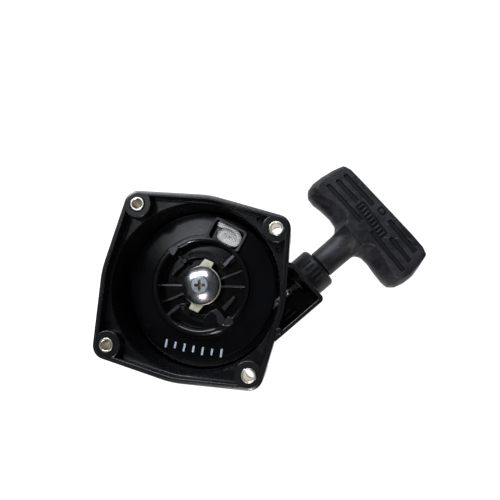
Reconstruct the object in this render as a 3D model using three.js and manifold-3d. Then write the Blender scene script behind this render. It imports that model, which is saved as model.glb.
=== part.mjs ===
// Recoil starter for a small two-stroke engine, lying on its back with the
// engine side up.  Millimetres.  Origin: reel axis on the flat back face.
// +Z runs along the reel axis towards the engine, +X and +Y run along the
// square bolt pattern.
import * as THREE from 'three';
import { mergeVertices } from 'three/addons/utils/BufferGeometryUtils.js';
import Module from 'manifold-3d';

const wasm = await Module();
wasm.setup();

// ---------------------------------------------------------------- dimensions
const FLANGE_Z = 50;          // engine face of the flange
const PLATE_Z = 38;           // underside of the flange and its bosses
const BOLT_PITCH = 82;        // square bolt pattern
const BOLT_Y = -2;            // pattern centre sits 2 mm below the reel axis
const BOSS_R = 8.1;
const BULGE_R = 53.3;         // mid-side bulge of the flange outline
const RIM_WALL = 3.0;
const SLEEVE_R = 4.0, SLEEVE_BORE_R = 2.95, SLEEVE_Z0 = 38, SLEEVE_Z1 = 50.4;
const SLEEVE_HOLE_R = 4.35, COLUMN_R = 9.5, HEAD_BORE_R = 5.5, LEDGE_Z = 42;

const CUP_IN_R = 49.5, CUP_OUT_R = 52.0, CUP_FLOOR_Z = 9;
const CHAMBER_R = 40.8, CHAMBER_OUT_R = 43.6, FLOOR_T = 3;
const POST_R = 6.5, POST_TOP_Z = 22;

const ROPE_D = 3.8, ROPE_Z = 14.9, ROPE_R = 37.7; // rope line, distance from the axis
const PULL_ANGLE = 51.3 * Math.PI / 180;          // rope direction from +X
const WALL_A = 50.6;          // outer face of the rope-outlet wall, along the rope
const BOX_T = 2.2, BOX_LOW_N = -54.5, BOX_Z0 = 3, BOX_Z1 = 49.7;

const REEL_R = 46, REEL_LOW_R = 45.4, DRUM_R = 31, REEL_BORE_R = 6.9;
const REEL_Z0 = 9.7, GROOVE_Z0 = 11.9, GROOVE_Z1 = 17.9, REEL_FACE_Z = 21;
const RING_R0 = 27, RING_R1 = 30, RING_Z = 26, WEB_Z = 14;

const PAWL_PIVOT_R = 18.5, PAWL_PIVOT_A = 60 * Math.PI / 180;
const PAWL_Z0 = 14.6, PAWL_Z1 = 20.2;
const PLATE_CAM_Z0 = 22.4, PLATE_CAM_T = 1.2, PLATE_CAM_R = 12.2;
const DOME_R = 11.7, DOME_Z0 = 24.7, DOME_TOP_Z = 29;

const SEAT_R = 12.3, SEAT_A0 = 50.9, SEAT_A1 = 63.3;
const GRIP_A0 = 63.7, GRIP_A1 = 115.0, SHANK_R = 8.15, GRIP_T = 24;

// ------------------------------------------------------------------- helpers
function signedVolume(p, t) {
  let v = 0;
  for (let i = 0; i < t.length; i += 3) {
    const a = 3 * t[i], b = 3 * t[i + 1], c = 3 * t[i + 2];
    v += p[a] * (p[b + 1] * p[c + 2] - p[b + 2] * p[c + 1])
       - p[a + 1] * (p[b] * p[c + 2] - p[b + 2] * p[c])
       + p[a + 2] * (p[b] * p[c + 1] - p[b + 1] * p[c]);
  }
  return v / 6;
}
// closed three.js geometry -> manifold solid
function solid(geometry) {
  const g = geometry.index ? geometry.clone() : geometry.clone();
  g.deleteAttribute('normal');
  g.deleteAttribute('uv');
  const m = mergeVertices(g, 1e-4);
  const p = Float32Array.from(m.attributes.position.array);
  const tri = [];
  const src = m.index.array;
  for (let i = 0; i < src.length; i += 3) {
    const [a, b, c] = [src[i], src[i + 1], src[i + 2]];
    if (a !== b && b !== c && a !== c) tri.push(a, b, c);
  }
  if (signedVolume(p, tri) < 0) {
    for (let i = 0; i < tri.length; i += 3) [tri[i + 1], tri[i + 2]] = [tri[i + 2], tri[i + 1]];
  }
  return new wasm.Manifold(new wasm.Mesh({
    numProp: 3, vertProperties: p, triVerts: Uint32Array.from(tri),
  }));
}
const join = (...s) => s.reduce((a, b) => a.add(b));
const cut = (a, ...s) => s.reduce((x, y) => x.subtract(y), a);

// manifold solid -> BufferGeometry
function geo(s) {
  const m = s.getMesh();
  const g = new THREE.BufferGeometry();
  const n = m.vertProperties.length / m.numProp;
  const pos = new Float32Array(3 * n);
  for (let i = 0; i < n; i++) {
    for (let k = 0; k < 3; k++) pos[3 * i + k] = m.vertProperties[i * m.numProp + k];
  }
  g.setAttribute('position', new THREE.BufferAttribute(pos, 3));
  g.setIndex(new THREE.BufferAttribute(Uint32Array.from(m.triVerts), 1));
  g.computeVertexNormals();
  return g;
}
const V2 = (x, y) => new THREE.Vector2(x, y);

// lathe about +Z from [r, z] pairs; a ring profile is closed on itself
function lathe(profile, seg = 48) {
  const g = new THREE.LatheGeometry(profile.map(([r, z]) => V2(r, z)), seg);
  g.rotateX(Math.PI / 2);
  return g;
}
const ring = (r0, r1, z0, z1, seg = 48) =>
  lathe([[r0, z0], [r1, z0], [r1, z1], [r0, z1], [r0, z0]], seg);
const disc = (r, z0, z1, seg = 48, x = 0, y = 0) => {
  const g = lathe([[0, z0], [r, z0], [r, z1], [0, z1]], seg);
  g.translate(x, y, 0);
  return g;
};
const cone = (r0, r1, z0, z1, seg, x = 0, y = 0) => {
  const g = lathe([[0, z0], [r0, z0], [r1, z1], [0, z1]], seg);
  g.translate(x, y, 0);
  return g;
};
function extrude(points, z0, z1, opts = {}) {
  const g = new THREE.ExtrudeGeometry(new THREE.Shape(points), {
    depth: z1 - z0, bevelEnabled: false, steps: 1, ...opts,
  });
  g.translate(0, 0, z0);
  return g;
}
// block given by centre, direction angle, length along it, width and z range
function bar(cx, cy, ang, len, wid, z0, z1) {
  const g = new THREE.BoxGeometry(len, wid, z1 - z0);
  g.rotateZ(ang);
  g.translate(cx, cy, (z0 + z1) / 2);
  return g;
}
// rope frame: a along the rope, n across it (measured from the reel axis)
const D = V2(Math.cos(PULL_ANGLE), Math.sin(PULL_ANGLE));
const N = V2(-D.y, D.x);
const AN = (a, n) => V2(a * D.x + n * N.x, a * D.y + n * N.y);
// lathe about the rope line at height z, profile in [r, a]
function ropeLathe(profile, seg, z = ROPE_Z) {
  const g = new THREE.LatheGeometry(profile.map(([r, a]) => V2(r, a)), seg);
  g.rotateZ(PULL_ANGLE - Math.PI / 2);
  const o = AN(0, -ROPE_R);
  g.translate(o.x, o.y, z);
  return g;
}
const ropeCyl = (r, a0, a1, seg) => ropeLathe([[0, a0], [r, a0], [r, a1], [0, a1]], seg);

function hull2(points) {
  const p = [...points].sort((a, b) => a.x - b.x || a.y - b.y);
  const cross = (o, a, b) => (a.x - o.x) * (b.y - o.y) - (a.y - o.y) * (b.x - o.x);
  const half = (list) => {
    const h = [];
    for (const q of list) {
      while (h.length >= 2 && cross(h[h.length - 2], h[h.length - 1], q) <= 1e-6) h.pop();
      h.push(q);
    }
    h.pop();
    return h;
  };
  return [...half(p), ...half(p.reverse())];
}
const BOLTS = [[-1, 1], [1, 1], [1, -1], [-1, -1]].map(
  ([i, j]) => V2(i * BOLT_PITCH / 2, j * BOLT_PITCH / 2 + BOLT_Y));
// flange outline: boss circles joined to a larger mid-side circle
function outline(rBoss, rBulge) {
  const pts = [];
  for (const b of BOLTS) {
    for (let i = 0; i < 32; i++) {
      const t = i * Math.PI / 16;
      pts.push(V2(b.x + rBoss * Math.cos(t), b.y + rBoss * Math.sin(t)));
    }
  }
  for (let i = 0; i < 120; i++) {
    const t = i * Math.PI / 60;
    pts.push(V2(rBulge * Math.cos(t), BOLT_Y + rBulge * Math.sin(t)));
  }
  return hull2(pts);
}

const group = new THREE.Group();
function part(name, geometry, color, roughness, metalness) {
  const mesh = new THREE.Mesh(geometry,
    new THREE.MeshStandardMaterial({ color, roughness, metalness }));
  mesh.name = name;
  group.add(mesh);
  return mesh;
}
const NYLON = [0x17181b, 0.5, 0.0];
const ZINC = [0xc3c6c8, 0.3, 0.9];
const STEEL = [0x8f9296, 0.35, 0.9];
const ROPE = [0xd8d8d2, 0.9, 0.0];
const RUBBERY = [0x222326, 0.8, 0.0];

// ------------------------------------------------------------------- housing
{
  const boxOuter = [AN(15.2, BOX_LOW_N), AN(WALL_A - 2.4, BOX_LOW_N), AN(WALL_A - 0.7, BOX_LOW_N + 0.7),
    AN(WALL_A, BOX_LOW_N + 2.4), AN(WALL_A, -29.2), AN(WALL_A - 1.2, -27.4),
    AN(47.4, -24.5), V2(45, 24), V2(40, 0), V2(45, -24)];
  const inA = WALL_A - BOX_T, inN = BOX_LOW_N + BOX_T;
  const boxInner = [AN(18, inN), AN(inA - 1.2, inN), AN(inA, inN + 1.2), AN(inA, -30.6),
    AN(inA - 1.6, -29.4), V2(44, 20), V2(40, 0), V2(45, -18)];
  let body = join(
    solid(extrude(outline(BOSS_R, BULGE_R), PLATE_Z, FLANGE_Z)),
    solid(cone(51.2, 52.4, 7, PLATE_Z + 2, 64, 0, BOLT_Y)),
    solid(lathe([[0, 0], [40.6, 0], [43.6, 3], [CHAMBER_OUT_R, 10], [0, 10]], 64)),
    solid(extrude(boxOuter, BOX_Z0, BOX_Z1)),
  );
  // rope-outlet box interior, keeping the round cup wall and the flange rim
  body = body.subtract(cut(solid(extrude(boxInner, BOX_Z0 + 2.5, 60)),
    solid(disc(CUP_OUT_R, -1, 61, 64, 0, BOLT_Y)),
    solid(extrude(outline(BOSS_R, BULGE_R), PLATE_Z, 61))));
  // cup and spring chamber
  body = cut(body, solid(disc(CUP_IN_R, CUP_FLOOR_Z, 60, 64, 0, BOLT_Y)),
    solid(disc(CHAMBER_R, FLOOR_T, CUP_FLOOR_Z + 1, 56)));
  // a column under each boss; it stands a little proud inside the cup
  const columns = join(...BOLTS.map((b) => solid(lathe([[0, 18], [5.6, 18], [COLUMN_R, 24],
    [COLUMN_R, 41], [0, 41]], 32).translate(b.x, b.y, 0))));
  body = body.add(columns.intersect(solid(extrude(outline(BOSS_R - 0.2, BULGE_R - 0.2), 10, 41))));
  // corner pockets between the bosses and the rim, down to a ledge round the cup's mouth
  const keep = join(...BOLTS.map((b) => solid(disc(BOSS_R, 41, 61, 32, b.x, b.y))));
  body = body.subtract(cut(
    solid(extrude(outline(BOSS_R - RIM_WALL, BULGE_R - RIM_WALL), LEDGE_Z, 60)), keep));
  // sleeve holes, and the bolt heads' counterbores from the back
  for (const b of BOLTS) {
    body = body.subtract(solid(disc(SLEEVE_HOLE_R, 30, 60, 32, b.x, b.y)));
    body = body.subtract(solid(disc(HEAD_BORE_R, 10, PLATE_Z, 32, b.x, b.y)));
  }
  // slot in the cup wall where the rope leaves, and the seat's hole in the outlet wall
  const c = AN((18 + 48) / 2, -ROPE_R);
  body = body.subtract(solid(bar(c.x, c.y, PULL_ANGLE, 30, 13, 9.4, 22)));
  body = body.subtract(solid(ropeCyl(7.0, 47, 53, 32)));
  // centre post with the insert's bore
  body = body.add(solid(disc(POST_R, 2, POST_TOP_Z, 40)));
  body = body.subtract(solid(disc(4.5, 5.7, 30, 32)));
  part('housing', geo(body), ...NYLON);
}

// -------------------------------------------------------------- bolt sleeves
BOLTS.forEach((b, i) => {
  const m = part(`bolt_sleeve_${i + 1}`, ring(SLEEVE_BORE_R, SLEEVE_R, SLEEVE_Z0, SLEEVE_Z1, 24), ...ZINC);
  m.position.set(b.x, b.y, 0);
});

// ---------------------------------------------------- spring case and spring
part('spring_case', geo(cut(
  solid(lathe([[8.2, 3.3], [40.4, 3.3], [40.4, 8.9], [39.8, 8.9], [39.8, 3.9], [8.2, 3.9], [8.2, 3.3]], 40)),
)), ...STEEL);
{
  // flat strip wound from the arbor out to the case wall
  const turns = 9.25, r0 = 9.4, r1 = 39.0, t = 0.55, steps = 130;
  const inner = [], outer = [];
  for (let i = 0; i <= steps; i++) {
    const u = i / steps, th = u * turns * 2 * Math.PI, r = r0 + (r1 - r0) * u;
    inner.push(V2(r * Math.cos(th), r * Math.sin(th)));
    outer.push(V2((r + t) * Math.cos(th), (r + t) * Math.sin(th)));
  }
  part('recoil_spring', extrude([...outer, ...inner.reverse()], 4.3, 8.8), 0x5f6468, 0.35, 0.9);
}
part('threaded_insert', ring(3.2, 4.2, 6.0, 21.8, 28), 0xb59a55, 0.35, 0.9);

// ---------------------------------------------------------------------- reel
const POCKET = { x: 9.35, y: 33.8, ang: -17.8 * Math.PI / 180, len: 22.9, wid: 15.1 };
{
  let reel = solid(lathe([
    [REEL_BORE_R, 4.4], [8.6, 4.4], [8.6, REEL_Z0], [REEL_LOW_R, REEL_Z0], [REEL_LOW_R, GROOVE_Z0],
    [DRUM_R, GROOVE_Z0], [DRUM_R, GROOVE_Z1], [REEL_R, GROOVE_Z1], [REEL_R, REEL_FACE_Z - 0.4],
    [REEL_R - 0.6, REEL_FACE_Z], [RING_R1, REEL_FACE_Z + 0.5], [RING_R1, RING_Z], [RING_R0, RING_Z],
    [RING_R0, WEB_Z], [9.5, WEB_Z], [9.5, 19.5], [REEL_BORE_R, 19.5], [REEL_BORE_R, 4.4]], 56));
  for (const s of [0, Math.PI]) {
    // thin radial ribs and the raised sector between them
    for (const deg of [7, 31]) {
      const a = deg * Math.PI / 180 + s;
      reel = reel.add(solid(bar(18.2 * Math.cos(a), 18.2 * Math.sin(a), a, 18.4, 1.2, 13.5, 18)));
    }
    const sector = [];
    for (let i = 0; i <= 6; i++) {
      const a = (7 + 4 * i) * Math.PI / 180 + s;
      sector.push(V2(27.3 * Math.cos(a), 27.3 * Math.sin(a)));
    }
    for (let i = 6; i >= 0; i--) {
      const a = (7 + 4 * i) * Math.PI / 180 + s;
      sector.push(V2(13 * Math.cos(a), 13 * Math.sin(a)));
    }
    reel = reel.add(solid(extrude(sector, 13.5, 15.6)));
    // short arm from the ring that holds the pawl down beside its pivot
    const p = PAWL_PIVOT_A + s, q = 52.5 * Math.PI / 180 + s;
    reel = reel.add(solid(bar(23.15 * Math.cos(q), 23.15 * Math.sin(q), q, 8.5, 2.4, 21.1, 24)));
    // slanted stop block ahead of the other pawl's nose
    const c = V2(18.0, -5.4).rotateAround(V2(0, 0), s);
    reel = reel.add(solid(bar(c.x, c.y, 54 * Math.PI / 180 + s, 9.0, 5.0, 13.5, 18.2)));
    // lug on the ring, above the pawl's nose
    const l = (s ? 139 : -43) * Math.PI / 180;
    reel = reel.add(solid(bar(27.85 * Math.cos(l), 27.85 * Math.sin(l), l, 5.7, 5.4, 20.8, RING_Z + 0.4)));
    // blind hole for the pawl pin
    reel = reel.subtract(solid(disc(1.8, 12.3, 15, 20,
      PAWL_PIVOT_R * Math.cos(p), PAWL_PIVOT_R * Math.sin(p))));
  }
  // pocket for the rope knot: raised rim, well, and the hole down to the groove
  reel = reel.add(solid(bar(POCKET.x, POCKET.y, POCKET.ang, POCKET.len, POCKET.wid, 20, 25)));
  reel = reel.subtract(solid(bar(POCKET.x, POCKET.y, POCKET.ang, POCKET.len - 3, POCKET.wid - 3, 18.9, 30)));
  reel = reel.subtract(solid(disc(2.4, 17, 19.5, 24, 4.0, 36.0)));
  part('reel', geo(reel), ...NYLON);
}

// ---------------------------------------------------------------------- rope
part('rope_winding', ring(DRUM_R + 0.3, 39.6, GROOVE_Z0 + 0.4, GROOVE_Z1 - 0.4, 48), ...ROPE);
{
  // knot lying in the pocket
  const g = new THREE.SphereGeometry(1, 16, 10);
  g.scale(6.9, 5.4, 3.4);
  g.rotateZ(POCKET.ang);
  g.translate(11.73, 32.72, 22.6);
  part('rope_knot', g, ...ROPE);
}
part('rope_lead', (() => {
  // the run from the reel through the eyelet to the knot in the grip
  const a0 = AN(18.2, -ROPE_R), a1 = AN(103.2, -ROPE_R);
  const sec = [];
  for (let i = 0; i < 10; i++) {
    sec.push(V2(ROPE_D / 2 * Math.cos(i * Math.PI / 5), ROPE_D / 2 * Math.sin(i * Math.PI / 5)));
  }
  return new THREE.ExtrudeGeometry(new THREE.Shape(sec), {
    steps: 12, bevelEnabled: false,
    extrudePath: new THREE.LineCurve3(new THREE.Vector3(a0.x, a0.y, ROPE_Z),
      new THREE.Vector3(a1.x, a1.y, ROPE_Z)),
  });
})(), ...ROPE);
{
  const g = new THREE.SphereGeometry(1, 14, 9);
  g.scale(4.2, 4.6, 4.6);
  g.rotateZ(PULL_ANGLE);
  const c = AN(109.1, -ROPE_R);
  g.translate(c.x, c.y, ROPE_Z);
  part('grip_knot', g, ...ROPE);
}

// -------------------------------------------------------- rope outlet pieces
part('handle_seat', ropeLathe([[4.5, 46.6], [6.7, 46.6], [6.7, SEAT_A0], [SEAT_R, SEAT_A0],
  [SEAT_R, SEAT_A1 - 2.6], [SEAT_R - 0.9, SEAT_A1 - 0.8], [SEAT_R - 2.6, SEAT_A1],
  [4.5, SEAT_A1], [4.5, 46.6]], 32), ...RUBBERY);
part('rope_eyelet', ropeLathe([[2.5, 45.0], [6.2, 45.0], [6.2, 46.3], [4.2, 46.3], [4.2, SEAT_A1 - 0.2],
  [2.5, SEAT_A1 - 0.2], [2.5, 45.0]], 28), ...STEEL);

// ---------------------------------------------------------------------- grip
{
  const half = [[GRIP_A1, 0], [GRIP_A1 - 0.1, 22], [114.3, 31.5], [112.2, 35.6], [107.6, 38.2], [99.1, 40.5],
    [93.8, 41.0], [89.4, 39.8], [86.7, 36.8], [86.6, 32], [87.5, 26.0], [88.0, 18.0], [86.6, 12.0], [83.9, 8.4],
    [80.0, 7.4]];
  const pts = [];
  for (const [a, n] of half) pts.push([a, n]);
  for (const [a, n] of [...half].reverse()) if (n !== 0) pts.push([a, -n]);
  const inset = 3.6;
  // the section swells to full size at mid height and is narrower top and bottom
  const shape = pts.map(([a, n]) => {
    const cx = 100, f = (v, c, h) => c + (v - c) * (1 - inset / h);
    return AN(f(a, cx, 15), f(n, 0, 41) - ROPE_R);
  });
  const bar0 = new THREE.ExtrudeGeometry(new THREE.Shape(shape), {
    depth: GRIP_T - 14, steps: 1, bevelEnabled: true, bevelThickness: 7, bevelSize: inset,
    bevelSegments: 3, curveSegments: 6,
  });
  bar0.translate(0, 0, ROPE_Z - (GRIP_T - 14) / 2);
  const shank = ropeLathe([[0, GRIP_A0], [SHANK_R - 0.5, GRIP_A0], [SHANK_R, GRIP_A0 + 0.6],
    [SHANK_R + 0.1, 92], [0, 92]], 32);
  let grip = solid(bar0).add(solid(shank));
  grip = cut(grip, solid(ropeCyl(2.7, 60, 108, 20)), solid(ropeCyl(5.6, 104.0, 120, 28)));
  part('handle', geo(grip), ...RUBBERY);
}
part('handle_washer', ropeLathe([[2.3, 104.3], [5.2, 104.3], [5.2, 104.7], [2.3, 104.7], [2.3, 104.3]], 28), ...ZINC);

// ------------------------------------------------- engagement mechanism
{
  // thin plate under the screw head with two ears that drive the pawls
  const ear = [V2(-4.4, 8.0), V2(-0.9, 17.2), V2(5.4, 15.2), V2(4.0, 12.4), V2(4.6, 11.0), V2(8.4, 8.4), V2(0, 2)];
  let p = solid(disc(PLATE_CAM_R, PLATE_CAM_Z0, PLATE_CAM_Z0 + PLATE_CAM_T, 48));
  p = p.add(solid(extrude(ear, PLATE_CAM_Z0, PLATE_CAM_Z0 + PLATE_CAM_T)));
  p = p.add(solid(extrude(ear.map((v) => V2(-v.x, -v.y)), PLATE_CAM_Z0, PLATE_CAM_Z0 + PLATE_CAM_T)));
  p = p.subtract(solid(disc(3.25, 20, 26, 28)));
  part('friction_plate', geo(p), 0xd9d6b8, 0.35, 0.8);
}
{
  // small coil spring that presses the plate up against the screw head
  const pts = [];
  const turns = 2.0, r = 8.0;
  for (let i = 0; i <= 32; i++) {
    const th = i / 32 * turns * 2 * Math.PI;
    pts.push(new THREE.Vector3(r * Math.cos(th), r * Math.sin(th), 20.3 + 1.55 * i / 32));
  }
  const sec = [];
  for (let i = 0; i < 8; i++) sec.push(V2(0.35 * Math.cos(i * Math.PI / 4), 0.35 * Math.sin(i * Math.PI / 4)));
  part('friction_spring', new THREE.ExtrudeGeometry(new THREE.Shape(sec), {
    steps: 32, bevelEnabled: false, extrudePath: new THREE.CatmullRomCurve3(pts),
  }), ...STEEL);
}
part('thrust_washer', ring(3.25, 8.0, 23.85, 24.4, 32), ...STEEL);
{
  // domed screw: rim, dome, shank and a cross recess
  const prof = [[0, 8], [2.3, 8], [2.9, 8.8], [2.9, DOME_Z0], [DOME_R, DOME_Z0], [DOME_R, DOME_Z0 + 0.7]];
  const h = DOME_TOP_Z - DOME_Z0 - 0.7, R = (DOME_R * DOME_R + h * h) / (2 * h);
  const amax = Math.asin(DOME_R / R);
  for (let i = 5; i >= 1; i--) {
    const a = amax * i / 6;
    prof.push([R * Math.sin(a), DOME_TOP_Z - R + R * Math.cos(a)]);
  }
  prof.push([0, DOME_TOP_Z]);
  let s = solid(lathe(prof, 32));
  const cross = (ang) => solid(bar(0, 0, ang, 6.6, 1.5, DOME_TOP_Z - 2.6, DOME_TOP_Z + 1));
  s = cut(s, cross(0.2), cross(0.2 + Math.PI / 2));
  part('centre_screw', geo(s), ...ZINC);
}
for (const i of [0, 1]) {
  const s = i * Math.PI;
  const px = PAWL_PIVOT_R * Math.cos(PAWL_PIVOT_A + s), py = PAWL_PIVOT_R * Math.sin(PAWL_PIVOT_A + s);
  const rc = (deg) => 18.5 + 2.8 * (deg - 60) / 78;
  const out = [], inn = [];
  for (let deg = 60; deg <= 138; deg += 6) {
    const a = deg * Math.PI / 180 + s, w = 2.7 - 0.4 * (deg - 60) / 78;
    out.push(V2((rc(deg) + w) * Math.cos(a), (rc(deg) + w) * Math.sin(a)));
    inn.push(V2((rc(deg) - w) * Math.cos(a), (rc(deg) - w) * Math.sin(a)));
  }
  let p = solid(extrude([...out, ...inn.reverse()], PAWL_Z0, PAWL_Z1));
  p = p.add(solid(disc(3.3, PAWL_Z0, PAWL_Z1, 28, px, py)));
  p = p.subtract(solid(disc(1.8, PAWL_Z0 - 1, PAWL_Z1 + 1, 20, px, py)));
  part(`pawl_${i + 1}`, geo(p), ...NYLON);
  part(`pawl_pin_${i + 1}`, disc(1.5, 12.6, 20.8, 20, px, py), ...STEEL);
}

export default group;
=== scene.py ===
import bpy
import bmesh
import math
from mathutils import Matrix, Vector


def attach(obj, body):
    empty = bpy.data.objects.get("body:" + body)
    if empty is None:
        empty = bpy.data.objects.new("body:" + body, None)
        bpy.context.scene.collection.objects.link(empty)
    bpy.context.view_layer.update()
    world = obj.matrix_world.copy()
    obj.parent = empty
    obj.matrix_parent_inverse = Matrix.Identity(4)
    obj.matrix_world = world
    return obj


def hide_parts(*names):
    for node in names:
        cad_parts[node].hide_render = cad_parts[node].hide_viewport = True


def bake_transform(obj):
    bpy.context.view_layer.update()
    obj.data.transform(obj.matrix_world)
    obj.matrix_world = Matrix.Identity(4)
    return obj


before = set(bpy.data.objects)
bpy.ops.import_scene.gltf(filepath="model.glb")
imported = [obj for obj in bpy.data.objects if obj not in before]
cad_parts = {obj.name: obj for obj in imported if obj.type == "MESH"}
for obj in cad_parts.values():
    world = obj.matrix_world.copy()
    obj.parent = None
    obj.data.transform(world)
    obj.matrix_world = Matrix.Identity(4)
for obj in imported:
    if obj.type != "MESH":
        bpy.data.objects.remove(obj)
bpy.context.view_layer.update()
sc = bpy.context.scene
MM = 0.001
pi = math.pi
rad = math.radians

# ------------------------------------------------------------------ camera
cd = bpy.data.cameras.new("cam")
cam = bpy.data.objects.new("cam", cd)
sc.collection.objects.link(cam)
cd.sensor_width = 36
cd.lens = 465 / 500 * 36
cd.clip_start = 0.01
cam.matrix_world = Matrix(((0.97618901, -0.17704423, 0.12534096, 0.0613492878),
                           (0.18991491, 0.97675112, -0.09944632, -0.00142567),
                           (-0.10482053, 0.12088253, 0.98711705, 0.30601362), (0, 0, 0, 1)))
sc.camera = cam

# ------------------------------------------------------------ mesh helpers (mm)


def link(name, me):
    o = bpy.data.objects.new(name, me)
    sc.collection.objects.link(o)
    return o


def raw(name, verts, faces):
    me = bpy.data.meshes.new(name)
    me.from_pydata([(x * MM, y * MM, z * MM) for x, y, z in verts], [], faces)
    bm = bmesh.new()
    bm.from_mesh(me)
    bmesh.ops.recalc_face_normals(bm, faces=bm.faces)
    bm.to_mesh(me)
    bm.free()
    return link(name, me)


def loft(name, rings, caps=True, closed=False):
    n, m = len(rings[0]), len(rings)
    vs = [p for r in rings for p in r]
    fs = []
    for i in range(m if closed else m - 1):
        a, b = i * n, ((i + 1) % m) * n
        for j in range(n):
            k = (j + 1) % n
            fs.append((a + j, a + k, b + k, b + j))
    if caps and not closed:
        fs.append(tuple(reversed(range(n))))
        fs.append(tuple((m - 1) * n + j for j in range(n)))
    return raw(name, vs, fs)


def lathe(name, prof, seg=96, closed=False, at=(0, 0)):
    vs, idx, fs = [], [], []
    for r, z in prof:
        if r < 1e-6:
            idx.append([len(vs)])
            vs.append((at[0], at[1], z))
        else:
            idx.append(list(range(len(vs), len(vs) + seg)))
            for j in range(seg):
                t = 2 * pi * j / seg
                vs.append((at[0] + r * math.cos(t), at[1] + r * math.sin(t), z))
    pairs = list(zip(idx, idx[1:])) + ([(idx[-1], idx[0])] if closed else [])
    for a, b in pairs:
        for j in range(seg):
            k = (j + 1) % seg
            if len(a) == 1 and len(b) == 1:
                continue
            if len(a) == 1:
                fs.append((a[0], b[k], b[j]))
            elif len(b) == 1:
                fs.append((a[j], a[k], b[0]))
            else:
                fs.append((a[j], a[k], b[k], b[j]))
    return raw(name, vs, fs)


def rounded(pts, radius, n=4, closed=True):
    out, m = [], len(pts)
    P = [Vector(p) for p in pts]
    for i, p in enumerate(P):
        r = radius[i] if isinstance(radius, (list, tuple)) else radius
        if r <= 0 or (not closed and i in (0, m - 1)):
            out.append(tuple(p))
            continue
        a, b = P[i - 1], P[(i + 1) % m]
        u, v = (a - p), (b - p)
        lu, lv = u.length, v.length
        u.normalize()
        v.normalize()
        ang = math.acos(max(-1, min(1, u.dot(v))))
        if ang > pi - 0.02 or ang < 0.02:
            out.append(tuple(p))
            continue
        t = min(r / math.tan(ang / 2), 0.48 * lu, 0.48 * lv)
        r = t * math.tan(ang / 2)
        bis = (u + v).normalized()
        c = p + bis * (r / math.sin(ang / 2))
        s, e = p + u * t - c, p + v * t - c
        a0, a1 = math.atan2(s.y, s.x), math.atan2(e.y, e.x)
        d = (a1 - a0 + pi) % (2 * pi) - pi
        for k in range(n + 1):
            w = a0 + d * k / n
            out.append((c.x + r * math.cos(w), c.y + r * math.sin(w)))
    return out


def area2(p):
    return sum(p[i - 1][0] * p[i][1] - p[i][0] * p[i - 1][1] for i in range(len(p))) / 2


def inset(pts, d):
    P = [Vector(p) for p in pts]
    m, out = len(P), []
    for i, p in enumerate(P):
        u, v = (p - P[i - 1]).normalized(), (P[(i + 1) % m] - p).normalized()
        n1, n2 = Vector((-u.y, u.x)), Vector((-v.y, v.x))
        b = n1 + n2
        b = b / max(b.dot(b) / 2, 1e-6)
        out.append(tuple(p + b * d))
    return out


def prism(name, pts, z0, z1, r=0.0, top=0.0, bot=0.0, n=3, rn=4):
    """extruded outline with rounded corners r and rounded top and bottom edges;
    a negative top or bot flares outwards, for a cutter that leaves a rounded mouth"""
    if area2(pts) < 0:
        pts = pts[::-1]
        if isinstance(r, (list, tuple)):
            r = r[::-1]
    m = len(pts)
    R = list(r) if isinstance(r, (list, tuple)) else [r] * m
    conv = []
    for i in range(m):
        a, p, b = Vector(pts[i - 1]), Vector(pts[i]), Vector(pts[(i + 1) % m])
        conv.append(1 if (p - a).cross(b - p) > 0 else -1)

    def at(d, z):
        q = inset(pts, d) if d else pts
        if any(R):
            q = rounded(q, [max(x - d * c, 0.03) if x else 0 for x, c in zip(R, conv)], rn)
        return [(x, y, z) for x, y in q]
    rings = []
    if bot:
        e = abs(bot)
        for k in range(n + 1):
            w = pi / 2 * k / n
            rings.append(at((1 - math.sin(w)) * bot, z0 + e * (1 - math.cos(w))))
    else:
        rings.append(at(0, z0))
    if top:
        e = abs(top)
        for k in range(n + 1):
            w = pi / 2 * k / n
            rings.append(at((1 - math.cos(w)) * top, z1 - e + e * math.sin(w)))
        if top < 0:
            rings.append(at(top, z1 + 12))
    else:
        rings.append(at(0, z1))
    return loft(name, rings)


def rect(cx, cy, ang, L, W):
    c, s = math.cos(ang), math.sin(ang)
    return [(cx + c * x - s * y, cy + s * x + c * y)
            for x, y in ((-L / 2, -W / 2), (L / 2, -W / 2), (L / 2, W / 2), (-L / 2, W / 2))]


def drop(o):
    me = o.data
    bpy.data.objects.remove(o)
    bpy.data.meshes.remove(me)


def bake(o):
    """apply the object's modifiers"""
    dg = bpy.context.evaluated_depsgraph_get()
    dg.update()
    me = bpy.data.meshes.new_from_object(o.evaluated_get(dg), preserve_all_data_layers=True, depsgraph=dg)
    o.modifiers.clear()
    old = o.data
    o.data = me
    bpy.data.meshes.remove(old)
    me.name = o.name
    return o


def boolean(a, b, op, keep=False):
    m = a.modifiers.new("b", "BOOLEAN")
    m.operation = op
    m.solver = "MANIFOLD"
    m.object = b
    bake(a)
    if not keep:
        drop(b)
    return a


def add(a, *bs):
    for b in bs:
        boolean(a, b, "UNION")
    return a


def cut(a, *bs):
    for b in bs:
        boolean(a, b, "DIFFERENCE")
    return a


def common(a, b):
    return boolean(a, b, "INTERSECT")


def polish(o, angle=33, merge=0.012):
    """weld slivers, smooth-shade curved faces, and weight the normals by area"""
    bm = bmesh.new()
    bm.from_mesh(o.data)
    if merge:
        bmesh.ops.remove_doubles(bm, verts=bm.verts, dist=merge * MM)
        bmesh.ops.dissolve_degenerate(bm, edges=bm.edges, dist=merge * MM)
    bmesh.ops.recalc_face_normals(bm, faces=bm.faces)
    for f in bm.faces:
        f.smooth = True
    bm.to_mesh(o.data)
    bm.free()
    o.data.set_sharp_from_angle(angle=rad(angle))
    w = o.modifiers.new("w", "WEIGHTED_NORMAL")
    w.keep_sharp = True
    w.weight = 60
    bake(o)
    return o


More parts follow.
